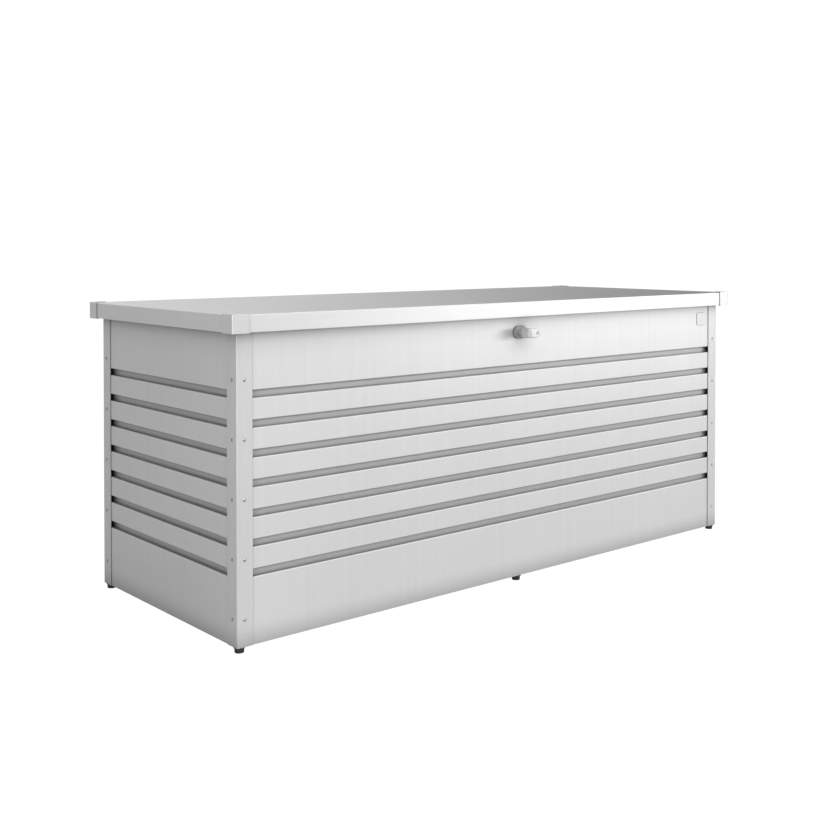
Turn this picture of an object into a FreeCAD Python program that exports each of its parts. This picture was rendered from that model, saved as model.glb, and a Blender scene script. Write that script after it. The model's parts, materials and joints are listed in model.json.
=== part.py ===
import FreeCAD, Part
import Sketcher
import math
import os
import re

from FreeCAD import Placement, Rotation, Vector

# Long sheet-steel deck storage box with a hinged, gas-assisted lid and a turning lock handle.
# Millimetres, +X along the length, the front faces -Y, +Z up, z = 0 under the feet.
# The origin is under the middle of the whole object, the handle included. The chest's own
# middle plane lies box_y behind it, so every body is drawn about that plane and placed at box_y.

SIZES = {
    # overall
    "lid_length": 1996.0,
    "lid_depth": 786.0,
    "body_height": 770.0,
    "rim_height": 43.5,
    "lid_overhang": 27.0,
    "foot_height": 15.0,
    # how far outside the metal a cut starts, and how far past it the cut ends
    "cut_over": 1.0,
    # sheet walls with pressed horizontal grooves
    "wall_thick": 1.0,
    "groove_width": 19.0,
    "groove_depth": 12.0,
    "groove_pitch": 73.2,
    "groove_first": 177.0,
    "groove_top_band": 148.0,
    "wall_end_gap": 1.0,
    # corner posts and their rivets
    "post_thick": 2.0,
    "post_flange": 45.0,
    "post_bend": 3.5,
    "rivet_inset": 22.0,
    "rivet_radius": 2.4,
    "rivet_head_radius": 4.6,
    "rivet_head_rise": 2.0,
    "rivet_tail_radius": 3.6,
    "rivet_tail_length": 2.0,
    "rivet_play": 0.05,
    # rails inside the wall tops, with the rubber seal on them
    "rail_depth": 15.0,
    "rail_height": 25.0,
    "rail_thick": 1.5,
    "seal_height": 10.0,
    "seal_width": 9.0,
    "seal_gap": 0.3,
    "seal_round": 2.7,
    # base rails, crossbeam and floor
    "base_width": 30.0,
    "base_height": 25.0,
    "base_thick": 1.5,
    "beam_width": 60.0,
    "floor_thick": 1.0,
    "floor_gap": 1.0,
    "bead_width": 46.0,
    "bead_rise": 5.0,
    "bead_inset": 60.0,
    "bead_count": 3,
    # feet
    "foot_radius": 12.0,
    "foot_top_radius": 15.0,
    "foot_top_rim": 2.0,
    "foot_cone": 4.0,
    "foot_round": 1.5,
    "foot_inset": 16.0,
    "foot_screw_radius": 3.0,
    "foot_screw_play": 0.05,
    "foot_screw_seat": 5.0,
    "foot_screw_end": 2.0,
    "foot_hole_play": 0.2,
    "foot_nut_radius": 5.8,
    "foot_nut_height": 5.0,
    # lid
    "lid_thick": 1.2,
    "lid_hem": 8.0,
    "lid_round": 2.0,
    "cap_leg": 48.0,
    "cap_thick": 2.0,
    "cap_drop": 2.0,
    "cap_rise": 1.5,
    "cap_lip": 9.0,
    "cap_bend": 6.0,
    "cap_edge": 0.9,
    "stiffener_width": 40.0,
    "stiffener_flange": 14.0,
    "stiffener_height": 18.0,
    "stiffener_inset": 66.0,
    "stiffener_spread": 420.0,
    # hinges
    "hinge_length": 90.0,
    "hinge_knuckle": 27.0,
    "hinge_spread": 700.0,
    "hinge_clear": 0.4,
    "hinge_above": 10.0,
    "knuckle_radius": 6.0,
    "knuckle_gap": 0.6,
    "hinge_pin_radius": 2.5,
    "hinge_pin_end": 2.0,
    "hinge_play": 0.05,
    "leaf_thick": 3.0,
    "leaf_drop": 20.0,
    "leaf_hole_spread": 32.0,
    "lid_leaf_thick": 2.4,
    # gas struts
    "strut_forward": 100.0,
    "strut_wall_gap": 13.0,
    "strut_radius": 9.0,
    "strut_bore_radius": 7.2,
    "strut_rod_radius": 4.0,
    "strut_gland_play": 0.3,
    "strut_piston_play": 0.4,
    "strut_stud_radius": 4.0,
    "strut_stud_play": 0.08,
    "strut_eye_radius": 8.0,
    "strut_eye_width": 9.0,
    "strut_neck": 16.0,
    "strut_neck_radius": 3.5,
    "bracket_thick": 3.0,
    "bracket_width": 40.0,
    "bracket_height": 36.0,
    "bracket_foot": 26.0,
    "bracket_tab": 24.0,
    "stud_clip": 1.5,
    "stud_clip_gap": 0.8,
    "strut_end": 7.0,
    # turning handle, lock core and latch
    "handle_drop": 48.0,
    "handle_stand": 28.0,
    "knob_depth": 32.0,
    "knob_height": 27.0,
    "knob_left": 21.0,
    "knob_right": 29.0,
    "knob_tip": 13.0,
    "knob_shoulder": 4.2,
    "knob_corner": 4.5,
    "knob_round": 3.0,
    "rosette_width": 52.0,
    "rosette_height": 35.0,
    "rosette_thick": 6.0,
    "rosette_flat": 3.5,
    "rosette_edge": 2.0,
    "neck_radius": 10.5,
    "shaft_radius": 6.0,
    "shaft_play": 0.05,
    "shaft_hole_play": 1.0,
    "face_play": 0.4,
    "bearing_side": 44.0,
    "bearing_plate": 3.0,
    "bearing_radius": 11.0,
    "bearing_length": 24.0,
    "square_side": 8.0,
    "cam_thick": 6.0,
    "cam_reach": 50.0,
    "cam_width": 14.0,
    "cam_boss_radius": 9.8,
    "cam_tip_round": 4.9,
    "cam_play": 0.5,
    "cam_screw_radius": 2.5,
    "cam_screw_head": 7.5,
    "cam_screw_rise": 3.5,
    "cam_screw_length": 9.0,
    "core_radius": 6.0,
    "core_offset": 14.0,
    "core_play": 0.08,
    "core_depth": 24.0,
    "core_proud": 0.8,
    "keyway_width": 2.2,
    "keyway_height": 8.0,
    "keyway_depth": 10.0,
    "striker_start": 15.0,
    "striker_width": 30.0,
    "striker_thick": 2.5,
    "striker_gap": 4.0,
    "striker_lap": 2.0,
    "striker_foot": 26.0,
    # blank plate on the front wall
    "plate_width": 48.0,
    "plate_height": 41.0,
    "plate_thick": 1.5,
    "plate_corner": 5.0,
    "plate_inset": 86.0,
    "plate_drop": 46.0,
}

# Lengths and counts worked out from the sizes above. Each may use the ones before it.
DERIVED = {
    "body_length": "lid_length - 2 * lid_overhang",
    "body_depth": "lid_depth - 2 * lid_overhang",
    "handle_reach": "handle_stand + knob_depth + core_proud",
    "box_y": "(handle_reach - lid_overhang - cap_thick) / 2",
    "bottom_z": "foot_height",
    "rim_z": "foot_height + body_height",
    "lid_top_z": "rim_z + rim_height",
    "lid_under_z": "lid_top_z - lid_thick",
    "wall_top_z": "lid_under_z - seal_height - seal_gap",
    "wall_high": "wall_top_z - bottom_z",
    "rail_z": "wall_top_z - rail_height",
    "post_x": "body_length / 2",
    "post_y": "body_depth / 2",
    "wall_x": "post_x - post_thick",
    "wall_y": "post_y - post_thick",
    "wall_in_x": "wall_x - wall_thick",
    "wall_in_y": "wall_y - wall_thick",
    "groove_count": "floor((body_height - groove_first - groove_top_band) / groove_pitch) + 1",
    "groove_low_z": "bottom_z + groove_first",
    "rib_depth": "groove_depth + wall_thick",
    "side_half": "wall_y - rib_depth - wall_end_gap",
    "rivet_count": "floor((groove_count + 3) / 2)",
    "rivet_step": "2 * groove_pitch",
    "rivet_low_z": "groove_low_z - 1.5 * groove_pitch",
    "rivet_hole": "rivet_radius + rivet_play",
    "rail_in_x": "wall_in_x - rail_depth",
    "rail_in_y": "wall_in_y - rail_depth",
    "base_in_x": "wall_in_x - base_width",
    "base_in_y": "wall_in_y - base_width",
    "floor_z": "bottom_z + base_height",
    "foot_x": "post_x - foot_inset",
    "foot_y": "post_y - foot_inset",
    "lid_in_x": "lid_length / 2 - lid_thick",
    "lid_in_y": "lid_depth / 2 - lid_thick",
    "cap_x": "lid_length / 2 + cap_thick",
    "cap_y": "lid_depth / 2 + cap_thick",
    "cap_z": "rim_z - cap_drop",
    "cap_high": "cap_drop + rim_height + cap_rise",
    "hinge_y": "lid_in_y - lid_leaf_thick - knuckle_radius - hinge_clear",
    "hinge_z": "rim_z + hinge_above",
    "strut_x": "rail_in_x - strut_wall_gap",
    "strut_low_y": "hinge_y - strut_forward",
    "strut_low_z": "groove_low_z + (groove_count - 2) * groove_pitch",
    "strut_reach": "sqrt(strut_forward ^ 2 + (hinge_z - strut_low_z) ^ 2)",
    "strut_high_y": "hinge_y - strut_reach",
    "strut_shut": "sqrt((strut_low_y - strut_high_y) ^ 2 + (hinge_z - strut_low_z) ^ 2)",
    "strut_tube": "strut_shut - 2 * strut_neck - strut_end / 2",
    "strut_rod_length": "strut_shut - strut_neck - 2 * strut_end",
    "handle_z": "rim_z - handle_drop",
    "knob_back": "post_y + handle_stand",
    "bearing_end": "wall_in_y - bearing_length",
    "cam_end": "bearing_end - cam_thick",
    "ledge_z": "handle_z - cam_width / 2 - cam_play",
}

# Where a sketch's lines and circles start out before the constraints move them.
START_RADIUS = 100.0
START_SIDE = 10.0

HEXAGON = 6

NODES = []

doc = FreeCAD.newDocument("deck_storage_box")
sheet = doc.addObject("Spreadsheet::Sheet", "Sizes")
layout = doc.addObject("App::VarSet", "Layout")


def in_document(words):
    """Turn plain size names into references to the sheet or to the derived values."""
    def reference(match):
        word = match.group(0)
        if word in SIZES:
            return "Sizes." + word
        if word in DERIVED:
            return "Layout." + word
        return word
    return re.sub(r"[a-z][a-z_]*", reference, words)


def bind(item, target, words):
    item.setExpression(target, in_document(words))


def size(name):
    """The present value of one named size, as a plain number."""
    source = sheet if name in SIZES else layout
    return float(getattr(source, name))


def fill_sheet():
    for row, (name, value) in enumerate(SIZES.items(), start=1):
        sheet.set("A%d" % row, name)
        sheet.set("B%d" % row, str(value))
        sheet.setAlias("B%d" % row, name)
    doc.recompute()
    for name, words in DERIVED.items():
        layout.addProperty("App::PropertyFloat", name, "Layout")
        bind(layout, name, words)
    doc.recompute()


# ---------------------------------------------------------------- building helpers

def new_body(name, x="0", y="0", z="0"):
    """A body whose own origin sits at x, y, z, with y counted from the chest's middle plane."""
    body = doc.addObject("PartDesign::Body", name)
    body.Label = name
    bind(body, "Placement.Base.x", x)
    bind(body, "Placement.Base.y", "box_y + " + y)
    bind(body, "Placement.Base.z", z)
    NODES.append(body)
    return body


def origin_part(body, role):
    for feature in body.Origin.OriginFeatures:
        if feature.Role == role:
            return feature
    raise ValueError("no origin feature " + role)


def new_sketch(body, plane, shift):
    """An empty sketch on an origin plane, moved by three expressions along the sketch's axes."""
    sketch = body.newObject("Sketcher::SketchObject", "Sketch")
    sketch.AttachmentSupport = (origin_part(body, plane), "")
    sketch.MapMode = "FlatFace"
    for axis, words in zip("xyz", shift):
        bind(sketch, "AttachmentOffset.Base." + axis, words)
    return sketch


def constrain(sketch, words, *rule):
    index = sketch.addConstraint(Sketcher.Constraint(*rule))
    bind(sketch, "Constraints[%d]" % index, words)


def polygon(sketch, points, domed=False):
    """A closed outline. Each point is two expressions, measured from the sketch's origin.

    A domed outline closes with an arc about the vertical axis, from its last point to its first.
    """
    count = len(points)
    spots = []
    for index in range(count):
        turn = 2 * math.pi * index / count
        spots.append(Vector(START_RADIUS * math.cos(turn), START_RADIUS * math.sin(turn), 0))
    for index in range(count - 1):
        sketch.addGeometry(Part.LineSegment(spots[index], spots[index + 1]), False)
    if domed:
        middle = Vector(0, -START_RADIUS, 0)
        round_line = Part.Circle(middle, Vector(0, 0, 1), START_RADIUS)
        sketch.addGeometry(Part.ArcOfCircle(round_line, 0, math.pi / 2))
        sketch.addConstraint(Sketcher.Constraint("PointOnObject", count - 1, 3, -2))
    else:
        sketch.addGeometry(Part.LineSegment(spots[count - 1], spots[0]), False)
    for index in range(count):
        sketch.addConstraint(Sketcher.Constraint("Coincident", index, 2, (index + 1) % count, 1))
    for index, (along, up) in enumerate(points):
        spot = spots[index]
        constrain(sketch, along, "DistanceX", -1, 1, index, 1, spot.x)
        constrain(sketch, up, "DistanceY", -1, 1, index, 1, spot.y)


def rectangle(sketch, wide, tall):
    """A rectangle with its lower left corner on the sketch's origin."""
    corners = [Vector(0, 0, 0), Vector(START_SIDE, 0, 0), Vector(START_SIDE, START_SIDE, 0),
               Vector(0, START_SIDE, 0)]
    for index in range(4):
        sketch.addGeometry(Part.LineSegment(corners[index], corners[(index + 1) % 4]), False)
    for index in range(4):
        sketch.addConstraint(Sketcher.Constraint("Coincident", index, 2, (index + 1) % 4, 1))
    for index, kind in enumerate(["Horizontal", "Vertical", "Horizontal", "Vertical"]):
        sketch.addConstraint(Sketcher.Constraint(kind, index))
    sketch.addConstraint(Sketcher.Constraint("Coincident", 0, 1, -1, 1))
    constrain(sketch, wide, "DistanceX", 0, 1, 0, 2, START_SIDE)
    constrain(sketch, tall, "DistanceY", 1, 1, 1, 2, START_SIDE)


def circle(sketch, radius):
    sketch.addGeometry(Part.Circle(Vector(0, 0, 0), Vector(0, 0, 1), START_SIDE), False)
    sketch.addConstraint(Sketcher.Constraint("Coincident", 0, 3, -1, 1))
    constrain(sketch, radius, "Radius", 0, START_SIDE)


def pad(body, sketch, length, backwards=False):
    feature = body.newObject("PartDesign::Pad", "Pad")
    feature.Profile = sketch
    feature.Reversed = backwards
    bind(feature, "Length", length)
    return feature


def pocket(body, sketch, length, backwards=True):
    """A cut along the sketch's normal, or against it when backwards is False."""
    feature = body.newObject("PartDesign::Pocket", "Pocket")
    feature.Profile = sketch
    feature.Reversed = backwards
    bind(feature, "Length", length)
    return feature


def add_box(body, low, spans):
    sketch = new_sketch(body, "XY_Plane", low)
    rectangle(sketch, spans[0], spans[1])
    return pad(body, sketch, spans[2])


def cut_box(body, low, spans):
    sketch = new_sketch(body, "XY_Plane", low)
    rectangle(sketch, spans[0], spans[1])
    return pocket(body, sketch, spans[2])


def add_rod(body, plane, spot, radius, length):
    """A round rod along the plane's normal, which is -Y on the XZ plane and +X on the YZ plane."""
    sketch = new_sketch(body, plane, spot)
    circle(sketch, radius)
    return pad(body, sketch, length)


def cut_hole(body, plane, spot, radius, length):
    sketch = new_sketch(body, plane, spot)
    circle(sketch, radius)
    return pocket(body, sketch, length)


def repeat(body, features, role, length, count):
    """Copies of features in a row along one of the body's own axes."""
    pattern = body.newObject("PartDesign::LinearPattern", "Row")
    pattern.Originals = features
    pattern.Direction = (origin_part(body, role), [""])
    bind(pattern, "Length", length)
    bind(pattern, "Occurrences", count)
    body.Tip = pattern


def round_edges(body, radius, chosen):
    """Fillet the edges of the body's last feature whose middle point and direction are chosen."""
    doc.recompute()
    tip = body.Tip
    names = []
    for index, edge in enumerate(tip.Shape.Edges, start=1):
        if len(edge.Vertexes) != 2:
            continue
        ends = [vertex.Point for vertex in edge.Vertexes]
        middle = (ends[0] + ends[1]) / 2
        along = ends[1] - ends[0]
        if chosen(middle, along):
            names.append("Edge%d" % index)
    if not names:
        raise ValueError("no edge to round on " + body.Label)
    fillet = body.newObject("PartDesign::Fillet", "Fillet")
    fillet.Base = (tip, names)
    bind(fillet, "Radius", radius)


def is_along(direction, axis):
    return abs(abs(direction.normalize().dot(axis)) - 1) < 1e-6


def near(value, target):
    return abs(value - target) < 1e-3


def group(name, master, places):
    """Separate copies of one small solid in a single node. Places are in chest coordinates."""
    doc.recompute()
    solids = []
    for place in places:
        solid = master.Shape.copy()
        solid.Placement = place
        solids.append(solid)
    feature = doc.addObject("Part::Feature", name)
    feature.Label = name
    feature.Shape = Part.makeCompound(solids)
    feature.Placement = Placement(Vector(0, size("box_y"), 0), Rotation())
    NODES.append(feature)


def master_body(name):
    """A small solid drawn about its own origin, copied by group and not exported itself."""
    body = doc.addObject("PartDesign::Body", name)
    body.Label = name
    return body


# ---------------------------------------------------------------- walls, posts and rivets

# Where the hinges stand along the rear wall, and where each leaf is riveted to it.
HINGES = {
    "hinge_left": "-hinge_spread",
    "hinge_middle": "0",
    "hinge_right": "hinge_spread",
}
LEAF_HOLES = ["-leaf_hole_spread", "0", "leaf_hole_spread"]


def long_wall(name, front):
    """The front or rear wall. Its grooves are pressed inward over its whole length."""
    body = new_body(name)
    outer_y = "-wall_y" if front else "wall_in_y"
    rib_y = "-wall_y" if front else "wall_y - rib_depth"
    groove_y = "-wall_y" if front else "wall_y - groove_depth"
    span = "2 * wall_x"
    rib_z = "groove_low_z - groove_width / 2 - wall_thick"
    groove_z = "groove_low_z - groove_width / 2"
    row = "(groove_count - 1) * groove_pitch"
    add_box(body, ("-wall_x", outer_y, "bottom_z"), (span, "wall_thick", "wall_high"))
    rib = add_box(body, ("-wall_x", rib_y, rib_z), (span, "rib_depth", "groove_width + 2 * wall_thick"))
    repeat(body, [rib], "Z_Axis", row, "groove_count")
    groove = cut_box(body, ("-wall_x", groove_y, groove_z), (span, "groove_depth", "groove_width"))
    repeat(body, [groove], "Z_Axis", row, "groove_count")
    hole_y = "wall_y + cut_over" if front else "-wall_y + wall_thick + cut_over"
    left = cut_hole(body, "XZ_Plane", ("rivet_inset - post_x", "rivet_low_z", hole_y),
                    "rivet_hole", "wall_thick + 2 * cut_over")
    left.Reversed = False
    right = cut_hole(body, "XZ_Plane", ("post_x - rivet_inset", "rivet_low_z", hole_y),
                     "rivet_hole", "wall_thick + 2 * cut_over")
    right.Reversed = False
    repeat(body, [left, right], "Z_Axis", "(rivet_count - 1) * rivet_step", "rivet_count")
    if front:
        shaft_hole = cut_hole(body, "XZ_Plane", ("0", "handle_z", "wall_y + cut_over"),
                              "shaft_radius + shaft_hole_play", "wall_thick + 2 * cut_over")
        shaft_hole.Reversed = False
        return
    for hinge_x in HINGES.values():
        for hole_x in LEAF_HOLES:
            hole = cut_hole(body, "XZ_Plane", (hinge_x + " + " + hole_x, "rim_z - leaf_drop / 2", hole_y),
                            "rivet_hole", "wall_thick + 2 * cut_over")
            hole.Reversed = False


def end_wall(name, side):
    """The left or right wall, which stops short of the long walls' groove backs."""
    body = new_body(name)
    outer_x = "-wall_x" if side < 0 else "wall_in_x"
    rib_x = "-wall_x" if side < 0 else "wall_x - rib_depth"
    groove_x = "-wall_x" if side < 0 else "wall_x - groove_depth"
    span = "2 * side_half"
    rib_z = "groove_low_z - groove_width / 2 - wall_thick"
    groove_z = "groove_low_z - groove_width / 2"
    row = "(groove_count - 1) * groove_pitch"
    add_box(body, (outer_x, "-side_half", "bottom_z"), ("wall_thick", span, "wall_high"))
    rib = add_box(body, (rib_x, "-side_half", rib_z), ("rib_depth", span, "groove_width + 2 * wall_thick"))
    repeat(body, [rib], "Z_Axis", row, "groove_count")
    groove = cut_box(body, (groove_x, "-side_half", groove_z), ("groove_depth", span, "groove_width"))
    repeat(body, [groove], "Z_Axis", row, "groove_count")
    hole_x = "-wall_x - cut_over" if side < 0 else "wall_in_x - cut_over"
    holes = []
    for hole_y in ("rivet_inset - post_y", "post_y - rivet_inset"):
        holes.append(cut_hole(body, "YZ_Plane", (hole_y, "rivet_low_z", hole_x),
                              "rivet_hole", "wall_thick + 2 * cut_over"))
    repeat(body, holes, "Z_Axis", "(rivet_count - 1) * rivet_step", "rivet_count")


def corner_post(name, side, end):
    """An angle post wrapped round one corner; side is -1 left, +1 right and end -1 front, +1 rear."""
    body = new_body(name)
    low_x = "-post_x" if side < 0 else "post_x - post_flange"
    low_y = "-post_y" if end < 0 else "post_y - post_flange"
    in_x = "-wall_x" if side < 0 else low_x
    in_y = "-wall_y" if end < 0 else low_y
    inner = "post_flange - post_thick"
    add_box(body, (low_x, low_y, "bottom_z"), ("post_flange", "post_flange", "wall_high"))
    cut_box(body, (in_x, in_y, "bottom_z"), (inner, inner, "wall_high"))
    front_x = "rivet_inset - post_x" if side < 0 else "post_x - rivet_inset"
    front_z = "post_y + cut_over" if end < 0 else "-wall_y + cut_over"
    depth = "post_thick + 2 * cut_over"
    hole = cut_hole(body, "XZ_Plane", (front_x, "rivet_low_z", front_z), "rivet_hole", depth)
    hole.Reversed = False
    side_y = "rivet_inset - post_y" if end < 0 else "post_y - rivet_inset"
    side_z = "-post_x - cut_over" if side < 0 else "wall_x - cut_over"
    side_hole = cut_hole(body, "YZ_Plane", (side_y, "rivet_low_z", side_z), "rivet_hole", depth)
    repeat(body, [hole, side_hole], "Z_Axis", "(rivet_count - 1) * rivet_step", "rivet_count")
    corner_x = side * size("post_x")
    corner_y = end * size("post_y")
    round_edges(body, "post_bend", lambda middle, along: is_along(along, Vector(0, 0, 1))
                and near(middle.x, corner_x) and near(middle.y, corner_y))


def revolve(body, sketch):
    """A full turn of the sketch about its own vertical axis."""
    turned = body.newObject("PartDesign::Revolution", "Turned")
    turned.Profile = sketch
    turned.ReferenceAxis = (sketch, ["V_Axis"])
    turned.Angle = 360


def rivet_master(name, grip):
    """A blind rivet along -Z: domed head above z = 0, shank through the grip, wider tail."""
    body = master_body(name)
    sketch = new_sketch(body, "XZ_Plane", ("0", "0", "0"))
    grip_end = "-(" + grip + ")"
    tail_end = grip_end + " - rivet_tail_length"
    polygon(sketch, [("0", "rivet_head_rise"),
                     ("0", tail_end),
                     ("rivet_tail_radius", tail_end),
                     ("rivet_tail_radius", grip_end),
                     ("rivet_radius", grip_end),
                     ("rivet_radius", "0"),
                     ("rivet_head_radius", "0")], domed=True)
    revolve(body, sketch)
    return body


def facing(spot, direction):
    return Placement(spot, Rotation(Vector(0, 0, 1), direction))


def wall_rivets():
    master = rivet_master("wall_rivet_form", "post_thick + wall_thick")
    places = []
    for row in range(int(size("rivet_count"))):
        z = size("rivet_low_z") + row * size("rivet_step")
        for side in (-1, 1):
            for end in (-1, 1):
                spot_x = side * (size("post_x") - size("rivet_inset"))
                spot_y = end * (size("post_y") - size("rivet_inset"))
                places.append(facing(Vector(spot_x, end * size("post_y"), z), Vector(0, end, 0)))
                places.append(facing(Vector(side * size("post_x"), spot_y, z), Vector(side, 0, 0)))
    group("wall_rivets", master, places)


# ---------------------------------------------------------------- rails, seal, floor and feet

def top_rail(name, low, spans, hollow_low, hollow_spans):
    """A channel on the inside of a wall's top edge, open below."""
    body = new_body(name)
    add_box(body, low, spans)
    cut_box(body, hollow_low, hollow_spans)


def top_rails():
    inner = "rail_depth - 2 * rail_thick"
    high = "rail_height - rail_thick"
    long_span = "2 * wall_in_x"
    short_span = "2 * rail_in_y"
    for name, low_y in (("top_rail_front", "-wall_in_y"), ("top_rail_rear", "rail_in_y")):
        top_rail(name, ("-wall_in_x", low_y, "rail_z"), (long_span, "rail_depth", "rail_height"),
                 ("-wall_in_x", low_y + " + rail_thick", "rail_z"), (long_span, inner, high))
    for name, low_x in (("top_rail_left", "-wall_in_x"), ("top_rail_right", "rail_in_x")):
        top_rail(name, (low_x, "-rail_in_y", "rail_z"), ("rail_depth", short_span, "rail_height"),
                 (low_x + " + rail_thick", "-rail_in_y", "rail_z"), (inner, short_span, high))


def rim_seal():
    """A rubber strip that runs round the mouth on top of the rails."""
    body = new_body("rim_seal")
    outer_x = "(rail_in_x + (rail_depth + seal_width) / 2)"
    outer_y = "(rail_in_y + (rail_depth + seal_width) / 2)"
    add_box(body, ("-" + outer_x, "-" + outer_y, "wall_top_z"),
            ("2 * " + outer_x, "2 * " + outer_y, "seal_height"))
    cut_box(body, ("seal_width - " + outer_x, "seal_width - " + outer_y, "wall_top_z"),
            ("2 * " + outer_x + " - 2 * seal_width", "2 * " + outer_y + " - 2 * seal_width", "seal_height"))
    top_z = size("wall_top_z") + size("seal_height")
    round_edges(body, "seal_round", lambda middle, along: near(middle.z, top_z))


def base_rails():
    """Channels inside the walls' lower edges, open inward. The floor lies on their tops."""
    inner_high = "base_height - 2 * base_thick"
    inner_z = "bottom_z + base_thick"
    web = "base_width - base_thick"
    long_span = "2 * wall_in_x"
    short_span = "2 * base_in_y"
    for name, low_y, hollow_y in (("base_rail_front", "-wall_in_y", "base_thick - wall_in_y"),
                                  ("base_rail_rear", "base_in_y", "base_in_y")):
        body = new_body(name)
        add_box(body, ("-wall_in_x", low_y, "bottom_z"), (long_span, "base_width", "base_height"))
        cut_box(body, ("-wall_in_x", hollow_y, inner_z), (long_span, web, inner_high))
        hole_y = "-foot_y" if name.endswith("front") else "foot_y"
        for hole_x in ("-foot_x", "0", "foot_x"):
            cut_hole(body, "XY_Plane", (hole_x, hole_y, "bottom_z"), "foot_screw_radius + foot_hole_play",
                     "base_thick")
    for name, low_x, hollow_x in (("base_rail_left", "-wall_in_x", "base_thick - wall_in_x"),
                                  ("base_rail_right", "base_in_x", "base_in_x")):
        body = new_body(name)
        add_box(body, (low_x, "-base_in_y", "bottom_z"), ("base_width", short_span, "base_height"))
        cut_box(body, (hollow_x, "-base_in_y", inner_z), (web, short_span, inner_high))


def floor_beam():
    body = new_body("floor_beam")
    span = "2 * base_in_y"
    add_box(body, ("-beam_width / 2", "-base_in_y", "bottom_z"), ("beam_width", span, "base_height"))
    cut_box(body, ("base_thick - beam_width / 2", "-base_in_y", "bottom_z"),
            ("beam_width - 2 * base_thick", span, "base_height - base_thick"))


def floor_panel(name, side):
    """Half of the floor, a flat sheet with raised beads along Y."""
    body = new_body(name)
    wide = "wall_in_x - 1.5 * floor_gap"
    deep = "2 * (wall_in_y - floor_gap)"
    low_x = "floor_gap - wall_in_x" if side < 0 else "floor_gap / 2"
    low_y = "floor_gap - wall_in_y"
    add_box(body, (low_x, low_y, "floor_z"), (wide, deep, "floor_thick"))
    first = "(" + low_x + ") + (" + wide + ") / (2 * bead_count) - bead_width / 2"
    bead_y = "bead_inset - wall_in_y"
    bead_span = "2 * (wall_in_y - bead_inset)"
    row = "(" + wide + ") * (bead_count - 1) / bead_count"
    bead = add_box(body, (first, bead_y, "floor_z"), ("bead_width", bead_span, "floor_thick + bead_rise"))
    repeat(body, [bead], "X_Axis", row, "bead_count")
    hollow = cut_box(body, (first + " + floor_thick", bead_y + " + floor_thick", "floor_z"),
                     ("bead_width - 2 * floor_thick", bead_span + " - 2 * floor_thick", "bead_rise"))
    repeat(body, [hollow], "X_Axis", row, "bead_count")


FEET = [
    ("foot_front_left", "-foot_x", "-foot_y"),
    ("foot_front_middle", "0", "-foot_y"),
    ("foot_front_right", "foot_x", "-foot_y"),
    ("foot_rear_left", "-foot_x", "foot_y"),
    ("foot_rear_middle", "0", "foot_y"),
    ("foot_rear_right", "foot_x", "foot_y"),
]


def feet():
    for name, x, y in FEET:
        body = new_body(name, x, y)
        sketch = new_sketch(body, "XZ_Plane", ("0", "0", "0"))
        bore = "foot_screw_radius + foot_screw_play"
        polygon(sketch, [("0", "0"),
                         ("foot_radius - foot_round", "0"),
                         ("foot_radius", "foot_round"),
                         ("foot_radius", "foot_height - foot_top_rim - foot_cone"),
                         ("foot_top_radius", "foot_height - foot_top_rim"),
                         ("foot_top_radius", "foot_height"),
                         (bore, "foot_height"),
                         (bore, "foot_screw_seat"),
                         ("0", "foot_screw_seat")])
        revolve(body, sketch)


def foot_screws():
    """A stud in each foot, with its nut on the base rail's lower flange."""
    master = master_body("foot_screw_form")
    add_rod(master, "XY_Plane", ("0", "0", "foot_screw_seat"), "foot_screw_radius",
            "foot_height - foot_screw_seat + base_thick + foot_nut_height + foot_screw_end")
    sketch = new_sketch(master, "XY_Plane", ("0", "0", "bottom_z + base_thick"))
    corners = []
    for index in range(HEXAGON):
        turn = "%d" % (360 * index / HEXAGON)
        corners.append(("foot_nut_radius * cos(" + turn + ")", "foot_nut_radius * sin(" + turn + ")"))
    polygon(sketch, corners)
    pad(master, sketch, "foot_nut_height")
    places = []
    for side in (-1, 0, 1):
        for end in (-1, 1):
            places.append(Placement(Vector(side * size("foot_x"), end * size("foot_y"), 0), Rotation()))
    group("foot_screws", master, places)


# ---------------------------------------------------------------- lid

def lid_panel():
    """A tray upside down: flat top, deep rim, and a hem turned in on the front and the ends."""
    body = new_body("lid_panel")
    add_box(body, ("-lid_length / 2", "-lid_depth / 2", "rim_z"), ("lid_length", "lid_depth", "rim_height"))
    top_z = size("lid_top_z")
    round_edges(body, "lid_round", lambda middle, along: near(middle.z, top_z))
    cut_box(body, ("-lid_in_x", "-lid_in_y", "rim_z + lid_thick"),
            ("2 * lid_in_x", "2 * lid_in_y", "rim_height - 2 * lid_thick"))
    cut_box(body, ("lid_hem - lid_in_x", "lid_hem - lid_in_y", "rim_z"),
            ("2 * (lid_in_x - lid_hem)", "2 * lid_in_y - lid_hem", "lid_thick"))


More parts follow.
